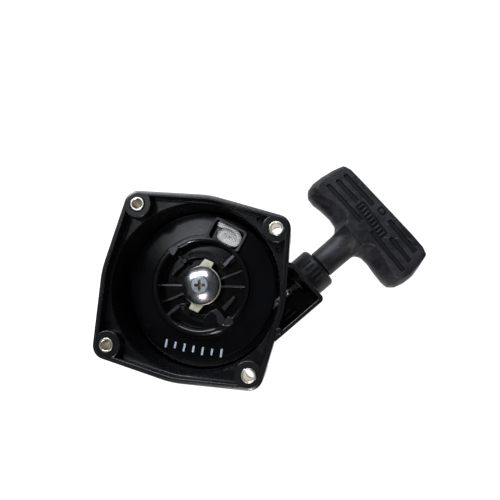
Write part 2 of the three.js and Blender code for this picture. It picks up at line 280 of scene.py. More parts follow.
# frames: a along the rope, n across it, measured from the reel axis
DX, DY = 0.6252426563357053, 0.7804304073383297
PULL = math.atan2(DY, DX)
ROPE_N, ROPE_Z = -37.7, 14.9


def AN(a, n):
    return (a * DX - n * DY, a * DY + n * DX)


def to_rope(o):
    """a piece lathed about +Z with z = a is laid along the rope line"""
    x0, y0 = AN(0, ROPE_N)
    M = Matrix(((-DY, 0, DX, x0 * MM), (DX, 0, DY, y0 * MM), (0, 1, 0, ROPE_Z * MM), (0, 0, 0, 1)))
    o.data.transform(M)
    bm = bmesh.new()
    bm.from_mesh(o.data)
    bmesh.ops.recalc_face_normals(bm, faces=bm.faces)
    bm.to_mesh(o.data)
    bm.free()
    return o


# -------------------------------------------------------------- materials


class Mat:
    def __init__(self, name):
        self.m = bpy.data.materials.new(name)
        self.m.use_nodes = True
        self.nt = self.m.node_tree
        self.b = self.nt.nodes["Principled BSDF"]
        self.co = self.n("ShaderNodeTexCoord").outputs["Object"]

    def n(self, kind, **kw):
        x = self.nt.nodes.new(kind)
        for k, v in kw.items():
            setattr(x, k, v)
        return x

    def l(self, a, b):
        self.nt.links.new(a, b)

    def mapped(self, scale, rot=(0, 0, 0)):
        x = self.n("ShaderNodeMapping")
        self.l(self.co, x.inputs["Vector"])
        x.inputs["Scale"].default_value = scale
        x.inputs["Rotation"].default_value = rot
        return x.outputs["Vector"]

    def noise(self, scale, detail=4.0, rough=0.55, dist=0.0, vec=None):
        x = self.n("ShaderNodeTexNoise")
        x.inputs["Scale"].default_value = scale
        x.inputs["Detail"].default_value = detail
        x.inputs["Roughness"].default_value = rough
        x.inputs["Distortion"].default_value = dist
        self.l(vec or self.co, x.inputs["Vector"])
        return x.outputs["Fac"]

    def ramp(self, fac, stops, mode="LINEAR"):
        x = self.n("ShaderNodeValToRGB")
        x.color_ramp.interpolation = mode
        e = x.color_ramp.elements
        while len(e) < len(stops):
            e.new(0.5)
        for i, (p, c) in enumerate(stops):
            e[i].position = p
            e[i].color = (c, c, c, 1) if not isinstance(c, tuple) else (*c, 1)
        self.l(fac, x.inputs["Fac"])
        return x.outputs["Color"]

    def mix(self, fac, a, b):
        x = self.n("ShaderNodeMix", data_type="RGBA")
        if isinstance(fac, float):
            x.inputs["Factor"].default_value = fac
        else:
            self.l(fac, x.inputs["Factor"])
        for k, v in (("A", a), ("B", b)):
            s = [i for i in x.inputs if i.name == k and i.type == "RGBA"][0]
            if isinstance(v, tuple):
                s.default_value = (*v, 1)
            else:
                self.l(v, s)
        return [o for o in x.outputs if o.type == "RGBA"][0]

    def math(self, op, a, b=None):
        x = self.n("ShaderNodeMath", operation=op)
        for i, v in enumerate((a, b)):
            if v is None:
                continue
            if isinstance(v, (int, float)):
                x.inputs[i].default_value = v
            else:
                self.l(v, x.inputs[i])
        return x.outputs[0]

    def bump(self, height, strength, dist=0.0002, prev=None):
        x = self.n("ShaderNodeBump")
        x.inputs["Strength"].default_value = strength
        x.inputs["Distance"].default_value = dist
        self.l(height, x.inputs["Height"])
        if prev:
            self.l(prev, x.inputs["Normal"])
        return x.outputs["Normal"]

    def done(self, color=None, rough=None, normal=None, **kw):
        if color is not None:
            self.l(color, self.b.inputs["Base Color"])
        if rough is not None:
            self.l(rough, self.b.inputs["Roughness"])
        if normal is not None:
            self.l(normal, self.b.inputs["Normal"])
        for k, v in kw.items():
            self.b.inputs[k.replace("_", " ")].default_value = v
        return self.m


def plastic(name, base, r0, r1, dust=0.3, grain=0.25, dust_col=(0.10, 0.10, 0.105), spec=0.5, dscale=140):
    m = Mat(name)
    big = m.noise(42, 5, 0.6)
    c = m.ramp(big, [(0.3, tuple(x * 0.75 for x in base)), (0.72, tuple(x * 1.3 for x in base))])
    specks = m.noise(dscale, 9, 0.72, 0.4)
    cloud = m.noise(23, 4, 0.6, 0.6)
    f = m.math("MULTIPLY", m.ramp(specks, [(0.54, 0.0), (0.74, 1.0)]), m.ramp(cloud, [(0.44, 0.0), (0.68, 1.0)]))
    f = m.math("MULTIPLY", f, dust)
    c = m.mix(f, c, dust_col)
    r = m.ramp(m.noise(60, 6, 0.65, 0.3), [(0.3, r0), (0.7, r1)])
    r = m.math("ADD", r, m.math("MULTIPLY", f, 0.35))
    fine = m.noise(1500, 3, 0.6)
    mid = m.noise(260, 4, 0.5)
    nb = m.bump(fine, grain, 0.00008)
    nb = m.bump(mid, grain * 0.5, 0.00012, nb)
    return m.done(c, r, nb, Specular_IOR_Level=spec)


M_NYLON = plastic("nylon_black", (0.0024, 0.0024, 0.0031), 0.22, 0.32, dust=0.10, grain=0.16, dust_col=(0.07, 0.07, 0.08), spec=0.48)
M_REEL = plastic("nylon_reel_face", (0.0014, 0.0015, 0.0022), 0.12, 0.17, dust=0.07, grain=0.24, dust_col=(0.05, 0.05, 0.056), spec=0.36)
M_RECESS = plastic("nylon_reel_recess", (0.0016, 0.0016, 0.002), 0.10, 0.17, dust=0.06, grain=0.10, dust_col=(0.06, 0.06, 0.066), spec=0.5)
M_PAWL = plastic("nylon_pawl", (0.0018, 0.0018, 0.0023), 0.22, 0.32, dust=0.06, grain=0.10, dust_col=(0.06, 0.06, 0.066), spec=0.26)
# slightly paler nylon for up-facing tops of ribs, guards, lugs and arms in the recess: a dimmer painted highlight, with
# real dust specks
M_TOP_PAINTED_HIGHLIGHT = plastic("nylon_dust_and_painted_highlight", (0.0065, 0.0065, 0.0085), 0.26, 0.36, dust=0.3, grain=0.3, dust_col=(0.07, 0.07, 0.08), spec=0.45)
# paler nylon for the knot pocket's rim and some up-facing tops in the recess: a painted highlight where light catches
# them, with dust specks on top
M_RIM_PAINTED_HIGHLIGHT = plastic("nylon_painted_highlight_tops", (0.066, 0.067, 0.080), 0.34, 0.44, dust=0.12, grain=0.16, dust_col=(0.12, 0.12, 0.13), spec=0.5)
M_SEAT = plastic("seat_block", (0.010, 0.010, 0.012), 0.42, 0.58, dust=0.4, grain=0.45, dust_col=(0.10, 0.10, 0.108), spec=0.3)


def grip_material():
    m = Mat("grip_black")
    big = m.noise(95, 8, 0.70, 0.5)
    c = m.ramp(big, [(0.42, (0.0012, 0.0012, 0.0020)), (0.60, (0.0130, 0.0130, 0.0170))])
    scuff = m.noise(1.0, 7, 0.7, 1.2, vec=m.mapped((90, 420, 90), (0, 0, 0.9)))
    f = m.math("MULTIPLY", m.ramp(scuff, [(0.60, 0.0), (0.72, 1.0)]), m.ramp(m.noise(70, 3, 0.6), [(0.45, 0.0), (0.62, 1.0)]))
    specks = m.ramp(m.noise(420, 6, 0.7), [(0.60, 0.0), (0.74, 1.0)])
    f2 = m.math("MULTIPLY", specks, m.ramp(m.noise(50, 5, 0.6), [(0.42, 0.0), (0.6, 0.7)]))
    f = m.math("MAXIMUM", m.math("MULTIPLY", f, 0.55), m.math("MULTIPLY", f2, 0.50))
    c = m.mix(f, c, (0.14, 0.14, 0.15))
    r = m.ramp(m.noise(90, 6, 0.6), [(0.3, 0.40), (0.7, 0.58)])
    nb = m.bump(m.noise(1100, 4, 0.65), 0.6, 0.00012)
    nb = m.bump(m.noise(280, 6, 0.7), 0.55, 0.0003, nb)
    return m.done(c, r, nb, Specular_IOR_Level=0.30)


# darker material for the floors of the grip grooves and the shallow panel: painted shade in the recesses
M_GROOVE_PAINTED_SHADE = plastic("grip_groove_painted_shade", (0.0015, 0.0015, 0.0022), 0.5, 0.62, dust=0.2, grain=0.4, dust_col=(0.03, 0.03, 0.033), spec=0.2)


def metal(name, tones, r0, r1, scratch=0.15, scale=160, pit=0.1):
    m = Mat(name)
    c = m.ramp(m.noise(scale, 4, 0.6, 0.5), [(0.3 + 0.4 * i / (len(tones) - 1), t) for i, t in enumerate(tones)])
    s = m.noise(1.0, 5, 0.7, 0.2, vec=m.mapped((2600, 240, 900), (0, 0, 0.5)))
    r = m.ramp(s, [(0.3, r0), (0.7, r1)])
    nb = m.bump(s, scratch, 0.00003)
    nb = m.bump(m.noise(520, 4, 0.6), pit, 0.00006, nb)
    return m.done(c, r, nb, Metallic=1.0)


M_GRIP = grip_material()
M_ZINC = metal("zinc_bright", [(0.28, 0.34, 0.44), (0.58, 0.62, 0.66), (0.50, 0.38, 0.38)], 0.17, 0.28, 0.14, 150)
M_SLEEVE = metal("zinc_sleeve", [(0.72, 0.70, 0.62), (0.80, 0.78, 0.70), (0.66, 0.60, 0.46)], 0.24, 0.42, 0.25, 300)
M_YELLOW = metal("zinc_yellow", [(0.48, 0.42, 0.24), (0.66, 0.65, 0.52), (0.56, 0.54, 0.46)], 0.34, 0.5, 0.25, 260)
# rough zinc for the flat centre of the screw dome: the rough pitted finish is real, its dark blue-grey tone is a
# painted reflection
M_CAP_PAINTED_REFLECTION = metal("zinc_cap_painted_blue_reflection", [(0.12, 0.18, 0.25), (0.46, 0.52, 0.58), (0.22, 0.28, 0.36)], 0.32, 0.46, 0.3, 420, pit=0.5)
M_SOCKET = metal("zinc_socket", [(0.30, 0.24, 0.14), (0.52, 0.42, 0.26), (0.22, 0.18, 0.14)], 0.34, 0.5, 0.25, 400)
M_BORE = metal("zinc_bore", [(0.62, 0.50, 0.28), (0.78, 0.70, 0.48), (0.56, 0.44, 0.28)], 0.22, 0.36, 0.25, 300)
M_SPRING = metal("steel_spring", [(0.20, 0.21, 0.23), (0.30, 0.30, 0.31), (0.24, 0.22, 0.20)], 0.28, 0.42, 0.3, 200)
M_STEEL = metal("steel_plain", [(0.42, 0.43, 0.45), (0.55, 0.55, 0.55), (0.48, 0.46, 0.44)], 0.28, 0.42, 0.3, 200)
# near-black steel for the pivot pins
M_PIN = metal("steel_near_black", [(0.010, 0.010, 0.012), (0.022, 0.022, 0.024), (0.014, 0.013, 0.013)], 0.42, 0.58, 0.3, 300)
M_BRASS = metal("brass", [(0.62, 0.46, 0.20), (0.72, 0.56, 0.28), (0.56, 0.42, 0.20)], 0.30, 0.42, 0.2, 200)


def fibre(name, lo, hi, rough=0.85):
    m = Mat(name)
    f = m.noise(1.0, 4, 0.7, 0.3, vec=m.mapped((2600, 2600, 2600)))
    c = m.ramp(f, [(0.32, lo), (0.62, hi)])
    c = m.mix(m.ramp(m.noise(300, 5, 0.6), [(0.52, 0.0), (0.7, 0.45)]), c, tuple(x * 0.5 for x in lo))
    nb = m.bump(f, 0.55, 0.00012)
    return m.done(c, m.ramp(f, [(0.3, rough - 0.1), (0.7, rough)]), nb, Sheen_Weight=0.15)


M_ROPE = fibre("rope_white", (0.66, 0.67, 0.66), (0.92, 0.93, 0.92))
# dark fibre for the fleck strands, and for the pocket knot's core, where it is painted shade showing between the
# strands
M_FLECK_AND_GAP_SHADE = fibre("rope_fleck_and_painted_gap_shade", (0.02, 0.02, 0.021), (0.07, 0.07, 0.07))
M_PRINT = None


def print_material():
    m = Mat("print_pale")
    f = m.noise(900, 5, 0.6)
    c = m.ramp(f, [(0.35, (0.30, 0.36, 0.44)), (0.62, (0.58, 0.66, 0.76))])
    return m.done(c, m.ramp(f, [(0.3, 0.55), (0.7, 0.75)]), m.bump(f, 0.2, 0.00002))


M_PRINT = print_material()


def dress(o, *mats):
    o.data.materials.clear()
    for m in mats:
        o.data.materials.append(m)
    return o


def own(o, slot, body, *nodes):
    if nodes:
        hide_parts(*nodes)
    if body:
        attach(o, body)
    return o


# ------------------------------------------------------------------ housing
BY = -2.0
BOLTS = [(-41, 39), (41, 39), (41, -43), (-41, -43)]
CIRC = [(x, y, 8.1) for x, y in BOLTS] + [(0, BY, 53.3)]


def outline(d, z, n=480):
    out = []
    for i in range(n):
        t = 2 * pi * i / n
        u = (math.cos(t), math.sin(t))
        c = max(CIRC, key=lambda c: c[0] * u[0] + c[1] * u[1] + c[2])
        out.append((c[0] + (c[2] - d) * u[0], c[1] + (c[2] - d) * u[1], z))
    return out


def slab(name, pairs):
    return loft(name, [outline(d, z) for d, z in pairs])


def housing():
    h = slab("housing_shell", [(0.35, 38), (0, 38.35), (0, 49.1), (0.1, 49.4), (0.35, 49.55), (1.0, 49.6), (1.15, 49.68),
                               (1.25, 49.85), (1.45, 49.96), (1.7, 50)])
    cone = lathe("t", rounded([(0, 7), (51.2, 7), (52.4, 40), (0, 40)], [0, 1.6, 0, 0], 6, False), 240, at=(0, BY))
    cham = lathe("t", rounded([(0, 0), (40.6, 0), (43.6, 3), (43.6, 10), (0, 10)], [0, 1.2, 1.2, 0, 0], 5, False), 240)
    box = prism("t", [AN(15.2, -54.5), AN(50.6, -54.5), AN(50.6, -28.6), AN(47.4, -24.5), (45, 24), (40, 0), (45, -24)],
                3, 49.7, r=[0, 2.6, 1.6, 0.8, 0, 0, 0], top=0.5, bot=0.8, rn=6)
    add(h, cone, cham, box)
    # shallow ribs on the step between the two diameters of the back
    for i in range(24):
        a = 2 * pi * (i + 0.5) / 24
        if -50 < math.degrees((a + pi) % (2 * pi) - pi) < 12:
            continue
        cx, cy = 45.9 * math.cos(a), 45.9 * math.sin(a) - 1.0
        add(h, prism("t", rect(cx, cy, a, 5.8, 1.4), 5.2, 8, bot=0.5))
    # columns under the bosses
    lim = slab("lim", [(0.2, 10), (0.2, 41)])
    cols = None
    for x, y in BOLTS:
        c = lathe("t", rounded([(0, 18), (5.9, 18), (9.5, 24), (9.5, 41), (0, 41)], [0, 0.8, 2.0, 0, 0], 5, False), 96, at=(x, y))
        cols = add(cols, c) if cols else c
    common(cols, lim)
    add(h, cols)
    # box interior, keeping the cup wall and the rim
    inner = prism("t", [AN(18, -52.3), AN(48.4, -52.3), AN(48.4, -30.0), (44, 20), (40, 0), (45, -18)],
                  5.5, 49.7, r=[0, 1.2, 1.6, 0, 0, 0], top=-0.4, rn=5)
    cut(inner, lathe("t", [(0, -1), (52, -1), (52, 61), (0, 61)], 240, at=(0, BY)))
    cut(inner, slab("t", [(0, 38), (0, 49.5), (0.15, 49.85), (0.5, 50.0), (0.5, 61)]))
    cut(h, inner)
    # cup and spring chamber
    cup = lathe("t", rounded([(0, 9), (49.5, 9), (49.5, 41.35), (50.0, 42.0), (50.0, 61), (0, 61)], [0, 1.5, 0.6, 0.3, 0, 0], 5, False),
                320, at=(0, BY))
    cut(h, cup, lathe("t", [(0, 3), (40.8, 3), (40.8, 10), (0, 10)], 200))
    # corner pockets down to the ledge
    pocket = slab("t", [(3.35, 42), (3.1, 42.12), (3.0, 42.4), (3.0, 49.35), (2.9, 49.65), (2.72, 49.88), (2.4, 50), (2.4, 61)])
    for x, y in BOLTS:
        cut(pocket, lathe("t", rounded([(0, 41), (8.1, 41), (8.1, 50), (0, 50)], [0, 0, 0.6, 0], 4, False), 128, at=(x, y)))
    cut(h, pocket)
    # bores for the bolt sleeves, pin holes in the ledge
    for x, y in BOLTS:
        cut(h, lathe("t", [(0, 30), (4.35, 30), (4.35, 49.6), (4.75, 50.0), (4.75, 61), (0, 61)], 64, at=(x, y)))
        cut(h, lathe("t", [(0, 10), (5.5, 10), (5.5, 38), (0, 38)], 64, at=(x, y)))
    for x, y in ((30.1, 43.9), (43.9, 28.1)):
        cut(h, lathe("t", [(0, 39.6), (1.6, 39.6), (1.6, 41.8), (1.85, 42.0), (1.85, 46), (0, 46)], 32, at=(x, y)))
    # rope slot and the seat's hole
    c = AN(33, ROPE_N)
    cut(h, prism("t", rect(c[0], c[1], PULL, 30, 13), 9.4, 22, r=0.01))
    cut(h, to_rope(lathe("t", [(0, 47), (7.0, 47), (7.0, 53), (0, 53)], 64)))
    # post
    add(h, lathe("t", rounded([(0, 2), (6.5, 2), (6.5, 22), (0, 22)], [0, 0, 0.4, 0], 4, False), 64))
    cut(h, lathe("t", [(0, 5.7), (4.5, 5.7), (4.5, 30), (0, 30)], 48))
    # two ribs inside the box, along its lower wall
    for n, a0, a1 in ((-49.4, 20, 34), (-46.6, 20, 32)):
        q = AN((a0 + a1) / 2, n)
        r = prism("t", rect(q[0], q[1], PULL, a1 - a0, 1.1), 5, 40, top=0.4)
        cut(r, lathe("t", [(0, -1), (51.6, -1), (51.6, 61), (0, 61)], 160, at=(0, BY)))
        add(h, r)
    # ejector pad outside the rim, by the box
    add(h, lathe("t", rounded([(0, 40), (1.9, 40), (1.9, 49.9), (0, 49.9)], [0, 0, 0.3, 0], 3, False), 32, at=(53.1, -16.5)))
    # ring grooves and the gate mark on the closed back
    for r in (13.0, 25.5, 37.0):
        cut(h, lathe("t", [(r, -1), (r + 1.0, -1), (r + 0.7, 0.45), (r + 0.3, 0.45)], 160, closed=True))
    cut(h, lathe("t", [(0, -1), (3.2, -1), (2.6, 0.5), (0, 0.5)], 48))
    add(h, lathe("t", rounded([(0, 0.7), (1.2, 0.7), (1.2, 0.12), (0, 0.12)], [0, 0, 0.2, 0], 3, False), 32))
    polish(h)
    dress(h, M_NYLON)
    return own(h, "black_nylon", "housing", "housing")


housing()


# --------------------------------------------------------------------- reel
def reel():
    prof = [(6.9, 4.4), (8.6, 4.4), (8.6, 9.7), (45.4, 9.7), (45.4, 11.9), (31, 11.9), (31, 17.9), (46, 17.9),
            (46, 21), (32.0, 21.4), (31.7, 21.15), (30, 21.2), (30, 26), (27, 26), (27, 14), (9.5, 14), (9.5, 19.5), (6.9, 19.5)]
    rr = [0.2, 0.2, 0.3, 0.6, 0.6, 0.5, 0.5, 0.4, 0.9, 0.15, 0.1, 0.5, 0.5, 1.3, 0.8, 0.8, 0.4, 0.4]
    r = lathe("reel_body", rounded(prof, rr, 4), 240, closed=True)
    for s in (0, pi):
        for deg in (9.5, 32):
            a = rad(deg) + s
            add(r, prism("t", rect(18.2 * math.cos(a), 18.2 * math.sin(a), a, 18.4, 1.2), 13.5, 18, top=0.3))
        sec = [(27.3 * math.cos(rad(7 + 2 * i) + s), 27.3 * math.sin(rad(7 + 2 * i) + s)) for i in range(13)]
        sec += [(13 * math.cos(rad(31 - 2 * i) + s), 13 * math.sin(rad(31 - 2 * i) + s)) for i in range(13)]
        add(r, prism("t", sec, 13.5, 15.6))
        # arm over the pawl, sloping up to the ring
        q = rad(52.5) + s
        arm = prism("t", rect(23.0 * math.cos(q), 23.0 * math.sin(q), q, 8.9, 2.0), 21.1, 25.2, r=0.5, top=0.5, bot=0.2)
        wedge = prism("t", rect(19.0 * math.cos(q), 19.0 * math.sin(q), q, 7, 6), 0, 3)
        wedge.data.transform(Matrix.Translation(-Vector((19.0 * math.cos(q) * MM, 19.0 * math.sin(q) * MM, 0))))
        wedge.data.transform(Matrix.Translation(Vector((19.6 * math.cos(q) * MM, 19.6 * math.sin(q) * MM, 23.4 * MM))) @
                             Matrix.Rotation(rad(-20), 4, Vector((-math.sin(q), math.cos(q), 0))))
        cut(arm, wedge)
        add(r, arm)
        # slanted stop block
        sg = -1 if s else 1
        wall = [(13.8, -11.2), (16.5, -8.0), (19.0, -4.4), (19.9, -2.3), (21.9, -3.1), (20.6, -6.4), (18.6, -9.8), (16.6, -13.0)]
        add(r, prism("t", [(sg * x, sg * y) for x, y in wall], 13.5, 19.4, r=0.5, top=0.5))
        # guard over the pawl, different on the two sides
        if s:
            gd = [(-18.9, 15.4), (-17.5, 16.0), (-15.1, 13.8), (-12.6, 15.0), (-12.2, 13.2), (-14.2, 11.6), (-16.8, 12.7)]
            add(r, prism("t", gd, 20.9, 22.2, r=0.5, top=0.4, bot=0.15))
        else:
            gd = [(4.8, -19.4), (9.2, -13.6), (12.1, -12.0), (14.8, -13.7), (20.4, -18.6), (16.4, -22.6), (5.5, -26.9)]
            add(r, prism("t", gd, 20.9, 21.6, r=0.5, top=0.3, bot=0.15))
            gd = [(8.4, -14.3), (12.1, -12.1), (14.8, -13.7), (20.4, -18.6), (16.4, -22.6), (13.8, -20.0), (12.2, -16.2)]
            add(r, prism("t", gd, 20.9, 22.2, r=0.5, top=0.45, bot=0.15))
        # notch in the ring's lip beside the lug
        nt = [(26.2, 120), (28.3, 120), (28.3, 131), (26.2, 131)]
        cut(r, prism("t", [(sg * q * math.cos(rad(w + 180)), sg * q * math.sin(rad(w + 180))) for q, w in nt], 24.7, 30))
        # lug
        a = rad(139 if s else -43)
        poly = [(24.9, -17.9), (22.5, -20.6), (19.2, -21.6), (18.4, -19.7), (20.2, -15.1), (21.8, -15.0)]
        lug = prism("t", [(sg * x, sg * y) for x, y in poly], 20.8, 26.4, r=0.7, top=0.6, bot=0.3)
        add(r, lug)
        p = rad(60) + s
        cut(r, lathe("t", [(0, 12.3), (1.8, 12.3), (1.8, 15), (0, 15)], 24, at=(18.5 * math.cos(p), 18.5 * math.sin(p))))
    # knot pocket
    PA = rad(-17.8)
    add(r, prism("t", rect(9.35, 33.8, PA, 22.9, 15.1), 20, 25, r=2.7, top=0.7, rn=6))
    cut(r, prism("t", rect(9.35, 33.8, PA, 19.9, 12.1), 18.9, 25, r=1.9, top=-0.35, rn=6))
    cut(r, lathe("t", [(0, 17), (2.4, 17), (2.4, 19.6), (0, 19.6)], 32, at=(4.0, 36.0)))
    # mould marks on the face
    ringm = lathe("t", [(1.35, 21.0), (2.0, 21.0), (2.0, 21.6), (1.35, 21.6)], 32, closed=True, at=(-8.1, 32.7))
    add(r, ringm)
    for x, y in ((32.6, 9.1), (25.3, 25.7), (-9.1, -26.4)):
        cut(r, lathe("t", [(0, 20.9), (0.5, 20.9), (0.6, 22.5), (0, 22.5)], 20, at=(x * 1.0, y * 1.0)) if math.hypot(x, y) > 31 else
            lathe("t", [(0, 25.7), (0.5, 25.7), (0.6, 27), (0, 27)], 20, at=(x, y)))
    polish(r)
    dress(r, M_REEL, M_RECESS, M_RIM_PAINTED_HIGHLIGHT, M_TOP_PAINTED_HIGHLIGHT)
    for f in r.data.polygons:
        c = f.center
        if math.hypot(c.x, c.y) < 30.6 * MM or (c.z > 21.5 * MM):
            f.material_index = 1
        # paler materials on the pocket rim and on up-facing tops in the recess: painted highlights, a brighter one and
        # a dimmer one
        if c.z > 23.9 * MM and math.hypot(c.x, c.y) > 30.4 * MM and abs(c.x - 9.35 * MM) < 15 * MM and c.y > 20 * MM:
            f.material_index = 2
        elif c.z > 26.1 * MM:
            f.material_index = 2 if c.x < 0 else 3
        elif f.normal.z > 0.9 and math.hypot(c.x, c.y) < 26.6 * MM and (22.1 * MM < c.z < 25.4 * MM or 19.2 * MM < c.z < 19.8 * MM):
            f.material_index = 2 if c.z > 22.5 * MM and c.x > 0 else 3
        elif f.normal.z > 0.8 and 9.6 * MM < math.hypot(c.x, c.y) < 27 * MM and 17.7 * MM < c.z < 18.1 * MM:
            f.material_index = 2 if c.x < 0 and c.y > -5.5 * MM else 3
    return own(r, "black_nylon", "reel", "reel")


reel()

# printed tick row: seven plain bars
ticks = None
vs, fs = [], []
pts = [(-14.9, -38.7), (2.5, -38.9), (19.9, -37.7)]
for i in range(7):
    u = (i - 3) / 3
    x = 2.5 + 17.4 * u
    y = -38.9 + (0.2 if u < 0 else 1.2) * u * u
    a = 0.035 * u + 0.02
    L = 5.4 if i % 2 == 0 else 4.0
    q = rounded(rect(x, y, a + pi / 2, L, 1.15), 0.35, 3)
    k = len(vs)
    zf = 21.0 + 0.4 * (46 - math.hypot(x, y)) / 14.0
    vs += [(px, py, zf - 0.02) for px, py in q] + [(px, py, zf + 0.06) for px, py in q]
    m = len(q)
    fs += [tuple(k + m + j for j in range(m)), tuple(k + j for j in reversed(range(m)))]
    fs += [(k + j, k + (j + 1) % m, k + m + (j + 1) % m, k + m + j) for j in range(m)]
t = raw("printed_ticks", vs, fs)
dress(t, M_PRINT)
own(t, "black_nylon", "reel")


# --------------------------------------------------------------- rope pieces
def braid(name, path, R, pitch, strands=8, w=0.62, sides=6, step=0.35, fleck=(0,), core=0):
    """a tubular braid along a path of 3-D points (mm): half the strands turn each way and pass over and under"""
    P = [Vector(p) for p in path]
    L = [0.0]
    for a, b in zip(P, P[1:]):
        L.append(L[-1] + (b - a).length)
    N = max(8, int(L[-1] / step))
    T, prev = [], None
    cs = []
    j = 0
    for i in range(N + 1):
        s = L[-1] * i / N
        while j < len(L) - 2 and L[j + 1] < s:
            j += 1
        u = (s - L[j]) / max(L[j + 1] - L[j], 1e-9)
        cs.append(P[j].lerp(P[j + 1], u))
    up = Vector((0, 0, 1))
    fr = []
    for i in range(N + 1):
        d = (cs[min(i + 1, N)] - cs[max(i - 1, 0)]).normalized()
        if prev is None:
            x = up.cross(d)
            if x.length < 0.1:
                x = Vector((1, 0, 0)).cross(d)
            x.normalize()
        else:
            x = (prev - d * prev.dot(d)).normalized()
        prev = x
        fr.append((cs[i], x, d.cross(x)))
    vs, fs, mi = [], [], []
    half = strands // 2
    for k in range(strands):
        sgn = 1 if k < half else -1
        ph = 2 * pi * (k % half) / half
        base = len(vs)
        line = []
        for i in range(N + 1):
            s = L[-1] * i / N
            th = sgn * 2 * pi * s / pitch + ph
            over = math.cos(half * (2 * pi * s / pitch) + (0 if sgn > 0 else pi))
            rr = R - w * 0.85 + 0.6 * w * over
            c, x, y = fr[i]
            nrm = x * math.cos(th) + y * math.sin(th)
            line.append((c + nrm * rr, nrm, w * (1 + 0.22 * over)))
        for i in range(N + 1):
            d = (line[min(i + 1, N)][0] - line[max(i - 1, 0)][0]).normalized()
            p, nrm, wk = line[i]
            b = d.cross(nrm).normalized()
            n2 = b.cross(d)
            for q in range(sides):
                t = 2 * pi * q / sides
                vs.append(tuple(p + b * (math.cos(t) * wk * 1.25) + n2 * (math.sin(t) * wk * 0.62)))
        for i in range(N):
            for q in range(sides):
                a0, a1 = base + i * sides + q, base + i * sides + (q + 1) % sides
                fs.append((a0, a1, a1 + sides, a0 + sides))
                mi.append(1 if k in fleck else 0)
        fs.append(tuple(base + q for q in reversed(range(sides))))
        fs.append(tuple(base + N * sides + q for q in range(sides)))
        mi += [1 if k in fleck else 0] * 2
    # core; with core=1 it takes the dark fleck material, painted shade in the gaps between strands
    base = len(vs)
    rc = R - w * 1.45
    for i in range(0, N + 1, 2):
        c, x, y = fr[i]
        for q in range(10):
            t = 2 * pi * q / 10
            vs.append(tuple(c + x * (rc * math.cos(t)) + y * (rc * math.sin(t))))
    m = len(range(0, N + 1, 2))
    for i in range(m - 1):
        for q in range(10):
            a0, a1 = base + i * 10 + q, base + i * 10 + (q + 1) % 10
            fs.append((a0, a1, a1 + 10, a0 + 10))
            mi.append(core)
    fs.append(tuple(base + q for q in reversed(range(10))))
    fs.append(tuple(base + (m - 1) * 10 + q for q in range(10)))
    mi += [0, 0]
    o = raw(name, vs, fs)
    o.data.materials.append(M_ROPE)
    o.data.materials.append(M_FLECK_AND_GAP_SHADE)
    for f, k in zip(o.data.polygons, mi):
        f.material_index = k
        f.use_smooth = True
    return o


# the run out through the seat into the grip
p0, p1 = AN(18.2, ROPE_N), AN(103.2, ROPE_N)
lead = braid("rope_run", [(p0[0] + (p1[0] - p0[0]) * i / 40, p0[1] + (p1[1] - p0[1]) * i / 40, ROPE_Z) for i in range(41)],
             1.62, 9.0, strands=8, w=0.56, fleck=(0,))
own(lead, "braided_rope", None, "rope_lead")
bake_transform(lead)

# turns on the drum
path = []
for i in range(0, 361 * 4, 6):
    u = i / 1440
    t = rad(-141.3 + 90 + i)
    r = 33.3 + 4.4 * u
    path.append((r * math.cos(t), r * math.sin(t), 14.9 + 0.6 * math.sin(2 * pi * u * 3.7)))
wind = braid("rope_turns", path, 1.62, 9.0, strands=8, w=0.56, sides=5, step=1.1, fleck=(0, 5))
own(wind, "braided_rope", "reel", "rope_winding")


def smooth_path(ctrl, per=8):
    """Catmull-Rom through the control points"""
    C = [Vector(c) for c in ctrl]
    C = [C[0] * 2 - C[1]] + C + [C[-1] * 2 - C[-2]]
    out = []
    for i in range(1, len(C) - 2):
        a, b, c, d = C[i - 1:i + 3]
        for k in range(per):
            t = k / per
            out.append(0.5 * (2 * b + (c - a) * t + (2 * a - 5 * b + 4 * c - d) * t * t + (3 * b - a - 3 * c + d) * t ** 3))
    out.append(C[-2])
    return out


def trefoil(c, ang, ext, rope, turns=64):
    ax, ay, az = (e - rope for e in ext)
    pts = []
    for i in range(turns + 1):
        t = 2 * pi * i / turns
        x = (math.sin(t) + 2 * math.sin(2 * t)) / 2.75 * ax
        y = (math.cos(t) - 2 * math.cos(2 * t)) / 2.75 * ay
        z = -math.sin(3 * t) * az
        pts.append((c[0] + math.cos(ang) * x - math.sin(ang) * y, c[1] + math.sin(ang) * x + math.cos(ang) * y, c[2] + z))
    return pts


coil = [(-8.0, 4.2, 21.4), (-5.5, 4.2, 21.9), (-2.5, 4.0, 22.4), (1.5, 4.1, 22.7), (5.0, 3.7, 22.6), (7.4, 1.7, 22.4), (7.6, -1.4, 22.3),
        (5.4, -3.9, 22.4), (2.2, -4.1, 22.6), (-1.0, -3.9, 22.7), (-3.3, -2.6, 22.7), (-3.6, -0.2, 22.9), (-1.8, 1.5, 23.4),
        (1.2, 1.9, 23.8), (4.2, 1.3, 23.8), (5.2, -0.6, 23.6), (3.4, -2.0, 23.5), (0.6, -1.9, 23.6), (-0.9, -0.4, 23.6), (1.4, 0.3, 23.2)]
ca, sa = math.cos(rad(-17.8)), math.sin(rad(-17.8))
# the knot's core is dark: painted shade in the gaps between its strands
kn = braid("pocket_knot", smooth_path([(9.35 + ca * u - sa * v, 33.8 + sa * u + ca * v, z) for u, v, z in coil]), 1.78, 8.0,
           strands=10, w=0.44, sides=6, step=0.28, fleck=(), core=1)
own(kn, "braided_rope", "reel", "rope_knot")
g = AN(109.1, ROPE_N)
gk = braid("grip_end_knot", trefoil((g[0], g[1], ROPE_Z), PULL, (4.3, 4.5, 4.4), 1.7), 1.5, 8.0, strands=8, w=0.52,
           sides=6, step=0.4, fleck=(0, 5))
own(gk, "braided_rope", "handle", "grip_knot")


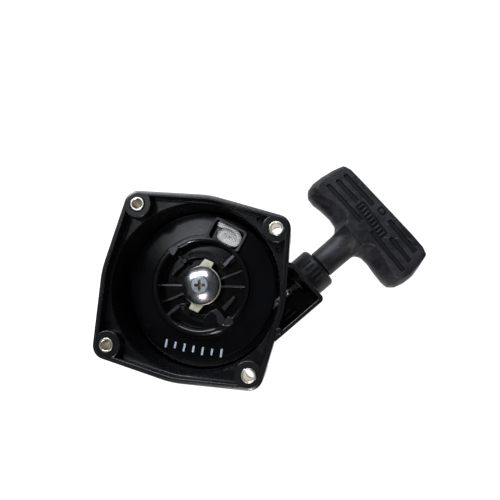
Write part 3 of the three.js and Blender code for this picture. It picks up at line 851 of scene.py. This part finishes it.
# ------------------------------------------------------------------- grip
def grip():
    """T grip: the bar's outline is lofted through its depth and joined to the round shank"""
    mid = [(115.9, 0), (115.9, 22), (115.6, 31.8), (113.4, 36.6), (107.8, 39.2), (100, 41.0), (93.4, 41.4), (88.6, 40.2),
           (85.9, 36.9), (85.5, 32), (86.5, 26), (87.2, 18), (86.4, 12), (83.4, 9.0), (79, 8.4)]
    top = [(116.0, 0), (116.0, 22), (115.8, 31.6), (114.2, 36.2), (107.4, 38.2), (99.8, 39.2), (95.2, 38.9), (92.0, 37.4),
           (90.8, 34.2), (91.4, 30.5), (93.4, 25.5), (94.8, 18), (94.5, 13), (92.6, 10), (89.5, 8.6)]
    mid2 = [(115.9, 0), (115.9, 22), (115.5, 31.4), (113.4, 36.6), (107.8, 39.0), (100, 40.9), (93.6, 40.6), (88.4, 39.2),
            (85.2, 36.4), (84.7, 32), (85.0, 26), (85.9, 18), (85.5, 12.6), (83.2, 9.2), (79, 8.4)]
    top2 = [(116.0, 0), (116.0, 22), (115.6, 31.4), (114.0, 36.2), (107.4, 37.8), (99.8, 38.8), (95.2, 38.0), (91.8, 36.6),
            (90.2, 33.8), (90.6, 30.5), (92.4, 25.5), (94.0, 18), (94.1, 13), (92.4, 10), (89.5, 8.6)]

    def full(h, h2):
        return h + [(a, -n) for a, n in h2[::-1] if n]

    def blend(t, d):
        q = [(m[0] + (k[0] - m[0]) * t, m[1] + (k[1] - m[1]) * t) for m, k in zip(full(mid, mid2), full(top, top2))]
        return rounded(inset(q, d), 1.7, 4)
    sec = []
    side = [(0, 0, 0), (3.2, 0.04, 0), (6.0, 0.22, 0), (8.4, 0.55, 0), (10.2, 0.86, 0), (11.2, 1.0, 0.25), (11.75, 1.0, 0.7),
            (12.0, 1.0, 1.5)]
    for dz, t, d in [(-h, t, d) for h, t, d in side[:0:-1]] + side:
        sec.append([(*AN(a, n + ROPE_N), ROPE_Z + dz) for a, n in blend(t, d if area2(full(mid, mid2)) > 0 else -d)])
    bar = loft("grip_body", sec)
    # stem: round shank that swells into the bar
    stem = []
    for a, hw, hh in ((63.7, 7.8, 7.8), (63.9, 8.4, 8.4), (64.6, 8.7, 8.7), (74, 8.7, 8.75), (80, 8.8, 8.9), (84, 9.1, 9.4),
                      (88, 10.4, 10.6), (92, 12.6, 11.6), (96, 15.0, 11.9), (100, 15.0, 11.9)):
        e = 1.0 - 0.28 * max(0, min(1, (a - 80) / 14))
        ring = []
        for k in range(64):
            t = 2 * pi * k / 64
            c, q = math.cos(t), math.sin(t)
            x, y = AN(a, ROPE_N + hw * math.copysign(abs(c) ** e, c))
            ring.append((x, y, ROPE_Z + hh * math.copysign(abs(q) ** e, q)))
        stem.append(ring)
    add(bar, loft("t", stem))
    rm = bar.modifiers.new("r", "REMESH")
    rm.mode = "VOXEL"
    rm.voxel_size = 0.62 * MM
    bake(bar)
    sm = bar.modifiers.new("s", "SMOOTH")
    sm.factor = 0.5
    sm.iterations = 4
    bake(bar)
    # rope bore and knot pocket
    cut(bar, to_rope(lathe("t", [(0, 60), (2.7, 60), (2.7, 108), (0, 108)], 48)))
    cut(bar, to_rope(lathe("t", [(0, 104), (5.6, 104), (5.6, 114.0), (6.3, 114.9), (6.3, 122), (0, 122)], 64)))
    # grip grooves on both broad faces
    lines = [((110.6, 30.4), (110.6, 6.8)), ((104.9, 31.2), (105.0, 14.7)), ((98.9, 32.5), (98.9, 4.4)),
             ((111.2, -7.7), (109.9, -30.1)), ((104.8, -15.9), (103.8, -32.1)), ((99.2, -5.7), (97.3, -33.7))]

    def strip(z0, z1, a0, n0, a1, n1, wd, extra=0.0, **kw):
        q0, q1 = AN(a0, n0 + ROPE_N), AN(a1, n1 + ROPE_N)
        ang = math.atan2(q1[1] - q0[1], q1[0] - q0[0])
        L = math.hypot(q1[0] - q0[0], q1[1] - q0[1]) + extra
        return prism("t", rect((q0[0] + q1[0]) / 2, (q0[1] + q1[1]) / 2, ang, L, wd), z0, z1, **kw)
    for up in (1, -1):
        z = ROPE_Z + 12 * up
        for (a0, n0), (a1, n1) in lines:
            if up > 0:
                g = strip(z - 1.15, z + 0.02, a0, n0, a1, n1, 2.5, 2.2, r=1.2, rn=5, top=-0.35, bot=0.5)
            else:
                g = strip(z - 3, z + 1.1, a0, n0, a1, n1, 2.7, 2.2, r=1.25, rn=5)
            cut(bar, g)
    # shallow panel in the middle of the face, with plain raised ribs standing in it
    cut(bar, strip(26.15, 26.92, 105.2, 12.0, 102.4, -12.2, 6.0, r=0.8, rn=3, top=-0.25))
    for k in range(9):
        n = 10.2 - 2.55 * k
        a = 105.0 - 0.3 * k
        add(bar, strip(25.6, 27.15, a - 2.0, n, a + 2.0, n, 1.15, r=0.4, top=0.3))
    cut(bar, strip(26.3, 26.92, 110.0, 0, 113.8, 0, 5.6, r=1.2, rn=3, top=-0.25))
    add(bar, strip(25.6, 27.1, 110.8, 0, 113.0, 0, 3.0, r=0.8, top=0.3))
    polish(bar, 40, 0.0)
    dress(bar, M_GRIP, M_GROOVE_PAINTED_SHADE)
    # groove and panel floors take the darker material, painted shade
    for f in bar.data.polygons:
        c = f.center
        a = c.x * DX / MM + c.y * DY / MM
        n = -c.x * DY / MM + c.y * DX / MM - ROPE_N
        if f.normal.z > 0.5 and 25.5 * MM < c.z < 26.72 * MM and 96.5 < a < 114.2 and abs(n) < 34.6:
            for (a0, n0), (a1, n1) in lines + [((105.2, 12.0), (102.4, -12.2)), ((110.0, 0), (113.8, 0))]:
                d = Vector((a1 - a0, n1 - n0))
                u = max(0, min(1, (Vector((a - a0, n - n0))).dot(d) / d.dot(d)))
                if math.hypot(a - a0 - u * d.x, n - n0 - u * d.y) < (1.35 if abs(n1 - n0) > 0.1 and n0 != 12.0 else 3.0):
                    f.material_index = 1
                    break
    return own(bar, "grip_rubber", "handle", "handle")


grip()


# ------------------------------------------------------------- small parts
def turned(name, prof, rr, node, slot, body, mat, seg=64, at=None, along=False, closed=True, n=3):
    o = lathe(name, rounded(prof, rr, n, closed), seg, closed=closed, at=at or (0, 0))
    if along:
        to_rope(o)
    polish(o, 33, 0.0)
    dress(o, mat)
    return own(o, slot, body, node)


for i, (x, y) in enumerate(BOLTS):
    sl = turned(f"sleeve_{i + 1}", [(2.95, 38), (4.0, 38), (4.0, 50.4), (2.95, 50.4)], [0.15, 0.2, 0.25, 0.3], f"bolt_sleeve_{i + 1}",
                "zinc_steel", "housing", M_SLEEVE, 64, (x, y))
    sl.data.materials.append(M_BORE)
    for f in sl.data.polygons:
        if math.hypot(f.center.x - x * MM, f.center.y - y * MM) < 3.05 * MM:
            f.material_index = 1

turned("seat_block", [(4.5, 46.6), (6.7, 46.6), (6.7, 50.9), (13.0, 50.9), (13.0, 63.3), (4.5, 63.3)],
       [0.2, 0.3, 0.3, 0.9, 2.4, 0.6], "handle_seat", "seat_plastic", "housing", M_SEAT, 96, along=True, n=6)
seat = bpy.data.objects["seat_block"]
for n in (-5.6, -2.8, 0, 2.8, 5.6):
    q = AN(57.4, n + ROPE_N)
    add(seat, prism("t", rect(q[0], q[1], PULL, 6.4 if n else 8.0, 1.2), 23, ROPE_Z + math.sqrt(169 - n * n) + 0.5, r=0.4, top=0.35))
polish(seat, 33, 0.0)
turned("eyelet", [(2.5, 45.0), (6.2, 45.0), (6.2, 46.3), (4.2, 46.3), (4.2, 63.1), (2.5, 63.1)], [0.6, 0.4, 0.3, 0.2, 0.5, 0.5],
       "rope_eyelet", "plain_steel", "housing", M_STEEL, 64, along=True)
turned("grip_washer", [(2.3, 104.3), (5.2, 104.3), (5.2, 104.7), (2.3, 104.7)], [0.1] * 4, "handle_washer", "zinc_steel", "handle",
       M_ZINC, 48, along=True)
turned("thrust_ring", [(3.25, 23.85), (8, 23.85), (8, 24.4), (3.25, 24.4)], [0.12] * 4, "thrust_washer", "plain_steel", "housing",
       M_STEEL, 64)
turned("insert", [(3.2, 6), (4.2, 6), (4.2, 12), (3.9, 12.4), (3.9, 14), (4.2, 14.4), (4.2, 21.8), (3.2, 21.8)], [0.15] * 8,
       "threaded_insert", "insert_brass", "housing", M_BRASS, 48)
turned("spring_dish", [(8.2, 3.3), (40.4, 3.3), (40.4, 8.9), (39.8, 8.9), (39.8, 3.9), (8.2, 3.9)], [0.1, 0.6, 0.1, 0.1, 0.3, 0.1],
       "spring_case", "plain_steel", "housing", M_STEEL, 128)
for i in (0, 1):
    a = rad(60) + i * pi
    turned(f"pivot_pin_{i + 1}", [(0, 12.6), (1.5, 12.6), (1.5, 20.8), (0, 20.8)], [0, 0.25, 0.4, 0], f"pawl_pin_{i + 1}",
           "plain_steel", "reel", M_PIN, 32, (18.5 * math.cos(a), 18.5 * math.sin(a)), closed=False)


def screw():
    h, R0 = 29 - 25.4, 11.7
    R = (R0 * R0 + h * h) / (2 * h)
    am = math.asin(R0 / R)
    prof = [(0, 8), (2.3, 8), (2.9, 8.8), (2.9, 24.7), (11.5, 24.7), (11.7, 24.9), (11.7, 25.35), (11.6, 25.5)]
    for k in range(19, -1, -1):
        q = k / 20
        prof.append((4.2 + 7.3 * q, 28.95 - 3.35 * q ** 1.75))
    prof.append((2.0, 29.0))
    prof.append((0, 29))
    s = lathe("domed_screw", prof, 128)
    # cross recess with tapered wings
    for k in (0, 1):
        a = 0.2 + k * pi / 2
        rings = []
        for z, L, W in ((25.6, 2.6, 1.0), (27.0, 5.0, 1.35), (29.05, 6.6, 1.9), (31, 7.2, 2.0)):
            rings.append([(x, y, z) for x, y in rounded(rect(0, 0, a, L, W), W * 0.3, 3)])
        cut(s, loft("t", rings))
    polish(s, 30, 0.0)
    dress(s, M_ZINC, M_SOCKET, M_CAP_PAINTED_REFLECTION)
    for f in s.data.polygons:
        c = f.center
        if math.hypot(c.x, c.y) < 3.6 * MM and c.z < 28.85 * MM and c.z > 25 * MM:
            f.material_index = 1
        # flat centre of the dome: blue-grey painted reflection
        elif math.hypot(c.x, c.y) < 4.9 * MM and c.z > 28.8 * MM:
            f.material_index = 2
    return own(s, "zinc_steel", "housing", "centre_screw")


screw()


def plate():
    disc = lathe("cam_plate", rounded([(0, 22.4), (12.2, 22.4), (12.2, 23.6), (0, 23.6)], [0, 0.25, 0.3, 0], 3, False), 96)
    ear = [(-5.4, 8.6), (-1.2, 16.7), (5.0, 15.3), (3.9, 11.9), (5.2, 10.7), (8.4, 8.4), (0, 2)]
    for s in (1, -1):
        add(disc, prism("t", [(s * x, s * y) for x, y in ear], 22.4, 23.6, r=[0.2, 0.7, 0.7, 0.8, 0.8, 0.3, 0.1], top=0.25, bot=0.2, rn=4))
        # pressed bead across the ear
        add(disc, prism("t", [(s * x, s * y) for x, y in rect(1.0, 13.0, rad(106), 4.2, 1.5)], 23.3, 23.95, r=0.6, top=0.35))
    cut(disc, lathe("t", [(0, 20), (3.25, 20), (3.25, 26), (0, 26)], 48))
    polish(disc)
    dress(disc, M_YELLOW)
    return own(disc, "yellow_zinc", "friction_plate", "friction_plate")


plate()


def pawl(i):
    s = i * pi
    out, inn = [], []
    for d in range(60, 139, 3):
        a = rad(d) + s
        w = 2.7 - 0.4 * (d - 60) / 78
        rc = 18.5 + 2.8 * (d - 60) / 78
        out.append(((rc + w) * math.cos(a), (rc + w) * math.sin(a)))
        inn.append(((rc - w) * math.cos(a), (rc - w) * math.sin(a)))
    p = prism(f"pawl_arm_{i + 1}", out + inn[::-1], 14.6, 20.2, top=0.45, bot=0.2)
    px, py = 18.5 * math.cos(rad(60) + s), 18.5 * math.sin(rad(60) + s)
    add(p, lathe("t", rounded([(0, 14.6), (3.3, 14.6), (3.3, 20.2), (0, 20.2)], [0, 0.2, 0.45, 0], 3, False), 48, at=(px, py)))
    cut(p, lathe("t", [(0, 13), (1.8, 13), (1.8, 22), (0, 22)], 32, at=(px, py)))
    # weight-saving slot along the arm
    mid = [((18.5 + 2.8 * (d - 60) / 78) * math.cos(rad(d) + s), (18.5 + 2.8 * (d - 60) / 78) * math.sin(rad(d) + s)) for d in range(78, 127, 4)]
    vsl = []
    for k, (x, y) in enumerate(mid):
        r0 = math.hypot(x, y)
        vsl.append((x * (r0 + 1.1) / r0, y * (r0 + 1.1) / r0))
    for x, y in mid[::-1]:
        r0 = math.hypot(x, y)
        vsl.append((x * (r0 - 1.1) / r0, y * (r0 - 1.1) / r0))
    cut(p, prism("t", vsl, 18.4, 23))
    polish(p)
    dress(p, M_PAWL)
    return own(p, "black_nylon", f"pawl_{i + 1}", f"pawl_{i + 1}")


for i in (0, 1):
    pawl(i)

for node, mat in (("friction_spring", M_SPRING), ("recoil_spring", M_SPRING)):
    dress(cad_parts[node], mat)

# ------------------------------------------------------------- floor, light
me = bpy.data.meshes.new("floor")
me.from_pydata([(-4, -4, -0.0006), (4, -4, -0.0006), (4, 4, -0.0006), (-4, 4, -0.0006)], [], [(0, 1, 2, 3)])
floor = link("floor", me)
fm = Mat("floor_white")
fc = fm.ramp(fm.noise(3, 2), [(0.3, 0.28), (0.7, 0.32)])
dress(floor, fm.done(fc, None, None, Roughness=0.9, Specular_IOR_Level=0.0, Emission_Color=(1, 1, 1, 1), Emission_Strength=0.9))

w = bpy.data.worlds.new("w")
sc.world = w
w.use_nodes = True
w.node_tree.nodes["Background"].inputs[0].default_value = (1, 1, 1, 1)
w.node_tree.nodes["Background"].inputs[1].default_value = 0.06
wl = w.node_tree.nodes.new("ShaderNodeLightPath")
wm = w.node_tree.nodes.new("ShaderNodeMath")
wm.operation = "MULTIPLY_ADD"
wm.inputs[1].default_value = 0.90
wm.inputs[2].default_value = 0.06
w.node_tree.links.new(wl.outputs["Is Camera Ray"], wm.inputs[0])
w.node_tree.links.new(wm.outputs[0], w.node_tree.nodes["Background"].inputs[1])


def area(name, loc, target, size, power, color=(1, 1, 1), size_y=None):
    d = bpy.data.lights.new(name, "AREA")
    d.energy = power
    d.color = color
    d.size = size
    if size_y:
        d.shape = "RECTANGLE"
        d.size_y = size_y
    o = bpy.data.objects.new(name, d)
    sc.collection.objects.link(o)
    o.location = loc
    o.rotation_euler = (Vector(target) - Vector(loc)).to_track_quat("-Z", "Y").to_euler()
    return o


area("key", (-0.36, 0.74, 0.80), (0, 0, 0.02), 0.9, 13, (0.90, 0.93, 1.0), size_y=0.36)
area("over", (-0.28, 0.18, 1.0), (-0.02, 0, 0.02), 0.20, 0.38, (0.88, 0.93, 1.0), size_y=0.15)
area("side", (-0.78, 0.56, 0.64), (0.03, 0.02, 0.02), 0.34, 6.5, (0.92, 0.95, 1.0))
area("front", (0.15, -0.80, 1.0), (0, 0, 0.02), 0.16, 9.5, (0.97, 0.98, 1.0))
area("warm", (0.25, -0.90, 0.60), (0, 0, 0.02), 0.6, 0.4, (1.0, 0.46, 0.40))

sc.view_settings.view_transform = "Standard"
